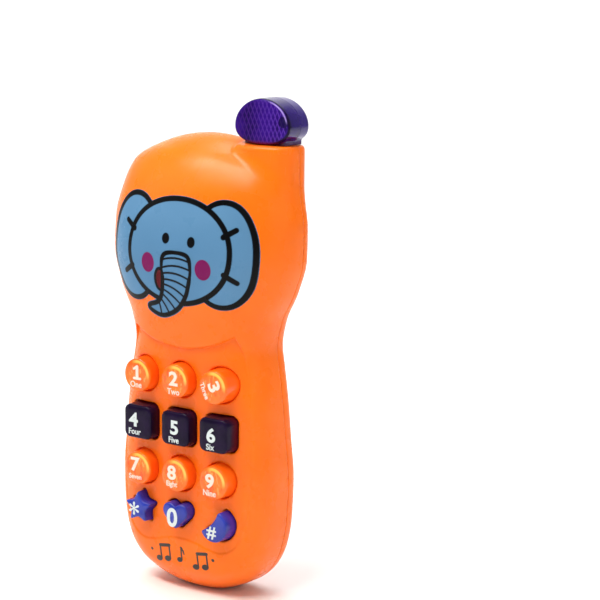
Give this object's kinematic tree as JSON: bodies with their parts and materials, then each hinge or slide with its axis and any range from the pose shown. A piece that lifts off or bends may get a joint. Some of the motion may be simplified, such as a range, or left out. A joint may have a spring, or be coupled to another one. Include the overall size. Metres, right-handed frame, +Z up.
{
  "type": "toy cell phone",
  "caption": "Toy cell phone with sprung keys, a lit antenna stub, a speaker and a two-cell battery bay under a screwed cover.",
  "frame": {"origin": "middle of the flat base, on the plane where the front and rear shells meet", "axes": "+Z up along the phone, -Y towards the keys, +X to the right seen from the keys"},
  "size_m": [0.086, 0.0372, 0.1968],
  "materials": {
    "shell_orange": "satin moulded plastic, orange",
    "key_clear_orange": "transparent orange plastic with a prismatic inside",
    "key_dark_purple": "very dark purple translucent plastic",
    "key_blue": "glossy blue-violet plastic",
    "lens_violet": "translucent dark violet plastic",
    "sticker_film": "printed film",
    "zinc_steel": "zinc plated steel",
    "nickel_steel": "nickel plated spring steel",
    "silicone": "translucent white silicone rubber",
    "carbon_rubber": "conductive carbon rubber",
    "carbon_ink": "printed carbon contacts",
    "board_laminate": "phenolic paper laminate",
    "epoxy": "black epoxy drop",
    "resistor_body": "carbon film resistors",
    "capacitor_sleeve": "sleeved aluminium can",
    "led_clear": "clear epoxy",
    "solder": "solder",
    "cell_jacket": "plain printed battery jacket",
    "speaker_steel": "stamped steel",
    "ferrite": "ferrite magnet",
    "cone_paper": "pressed paper cone",
    "copper": "enamelled copper wire",
    "wire_red": "red wire insulation",
    "wire_black": "black wire insulation",
    "wire_blue": "blue wire insulation",
    "wire_white": "white wire insulation"
  },
  "bodies": {
    "housing": {"front_shell": "shell_orange", "rear_shell": "shell_orange", "antenna_lens_front": "lens_violet", "antenna_lens_rear": "lens_violet", "face_sticker": "sticker_film", "case_screws": "zinc_steel", "board_screws": "zinc_steel", "speaker_screws": "zinc_steel", "rubber_keypad": "silicone", "carbon_pills": "carbon_rubber", "key_contacts": "carbon_ink", "circuit_board": "board_laminate", "sound_chip": "epoxy", "resistors": "resistor_body", "capacitor": "capacitor_sleeve", "transistor": "epoxy", "keypad_leds": "led_clear", "solder_joints": "solder", "battery_cell_left": "cell_jacket", "battery_cell_right": "cell_jacket", "battery_bridge": "nickel_steel", "battery_positive_contact": "nickel_steel", "battery_negative_contact": "nickel_steel", "battery_springs": "nickel_steel", "speaker_frame": "speaker_steel", "speaker_magnet": "ferrite", "speaker_yoke": "speaker_steel", "speaker_cone": "cone_paper", "speaker_dust_cap": "cone_paper", "speaker_voice_coil": "copper", "antenna_led": "led_clear", "battery_wire_red": "wire_red", "battery_wire_black": "wire_black", "speaker_wires": "wire_blue", "antenna_wires": "wire_white"},
    "battery_cover": {"battery_cover": "shell_orange"},
    "battery_cover_screw": {"battery_cover_screw": "zinc_steel"},
    "key_1": {"key_1": "key_clear_orange"},
    "key_2": {"key_2": "key_clear_orange"},
    "key_3": {"key_3": "key_clear_orange"},
    "key_4": {"key_4": "key_dark_purple"},
    "key_5": {"key_5": "key_dark_purple"},
    "key_6": {"key_6": "key_dark_purple"},
    "key_7": {"key_7": "key_clear_orange"},
    "key_8": {"key_8": "key_clear_orange"},
    "key_9": {"key_9": "key_clear_orange"},
    "key_star": {"key_star": "key_blue"},
    "key_zero_heart": {"key_zero_heart": "key_blue"},
    "key_moon": {"key_moon": "key_blue"}
  },
  "joints": [
    {"name": "key_1_press", "type": "slide", "parent": "housing", "child": "key_1", "axis": [0, 1, 0], "range_m": [0, 0.0015], "stiffness_N_per_m": 900, "springref_m": -0.0004, "deforming": ["rubber_keypad", "carbon_pills"]},
    {"name": "key_2_press", "type": "slide", "parent": "housing", "child": "key_2", "axis": [0, 1, 0], "range_m": [0, 0.0015], "stiffness_N_per_m": 900, "springref_m": -0.0004, "deforming": ["rubber_keypad", "carbon_pills"]},
    {"name": "key_3_press", "type": "slide", "parent": "housing", "child": "key_3", "axis": [0, 1, 0], "range_m": [0, 0.0015], "stiffness_N_per_m": 900, "springref_m": -0.0004, "deforming": ["rubber_keypad", "carbon_pills"]},
    {"name": "key_4_press", "type": "slide", "parent": "housing", "child": "key_4", "axis": [0, 1, 0], "range_m": [0, 0.0015], "stiffness_N_per_m": 900, "springref_m": -0.0004, "deforming": ["rubber_keypad", "carbon_pills"]},
    {"name": "key_5_press", "type": "slide", "parent": "housing", "child": "key_5", "axis": [0, 1, 0], "range_m": [0, 0.0015], "stiffness_N_per_m": 900, "springref_m": -0.0004, "deforming": ["rubber_keypad", "carbon_pills"]},
    {"name": "key_6_press", "type": "slide", "parent": "housing", "child": "key_6", "axis": [0, 1, 0], "range_m": [0, 0.0015], "stiffness_N_per_m": 900, "springref_m": -0.0004, "deforming": ["rubber_keypad", "carbon_pills"]},
    {"name": "key_7_press", "type": "slide", "parent": "housing", "child": "key_7", "axis": [0, 1, 0], "range_m": [0, 0.0015], "stiffness_N_per_m": 900, "springref_m": -0.0004, "deforming": ["rubber_keypad", "carbon_pills"]},
    {"name": "key_8_press", "type": "slide", "parent": "housing", "child": "key_8", "axis": [0, 1, 0], "range_m": [0, 0.0015], "stiffness_N_per_m": 900, "springref_m": -0.0004, "deforming": ["rubber_keypad", "carbon_pills"]},
    {"name": "key_9_press", "type": "slide", "parent": "housing", "child": "key_9", "axis": [0, 1, 0], "range_m": [0, 0.0015], "stiffness_N_per_m": 900, "springref_m": -0.0004, "deforming": ["rubber_keypad", "carbon_pills"]},
    {"name": "key_star_press", "type": "slide", "parent": "housing", "child": "key_star", "axis": [0, 1, 0], "range_m": [0, 0.0015], "stiffness_N_per_m": 900, "springref_m": -0.0004, "deforming": ["rubber_keypad", "carbon_pills"]},
    {"name": "key_zero_heart_press", "type": "slide", "parent": "housing", "child": "key_zero_heart", "axis": [0, 1, 0], "range_m": [0, 0.0015], "stiffness_N_per_m": 900, "springref_m": -0.0004, "deforming": ["rubber_keypad", "carbon_pills"]},
    {"name": "key_moon_press", "type": "slide", "parent": "housing", "child": "key_moon", "axis": [0, 1, 0], "range_m": [0, 0.0015], "stiffness_N_per_m": 900, "springref_m": -0.0004, "deforming": ["rubber_keypad", "carbon_pills"]},
    {"name": "battery_cover_tilt", "type": "hinge", "parent": "housing", "child": "battery_cover", "pos_m": [0, 0.0091, 0.018], "axis": [-1, 0, 0], "range_deg": [0, 70]},
    {"name": "cover_screw_withdraw", "type": "slide", "parent": "battery_cover", "child": "battery_cover_screw", "axis": [0, 1, 0], "range_m": [0, 0.006]}
  ]
}
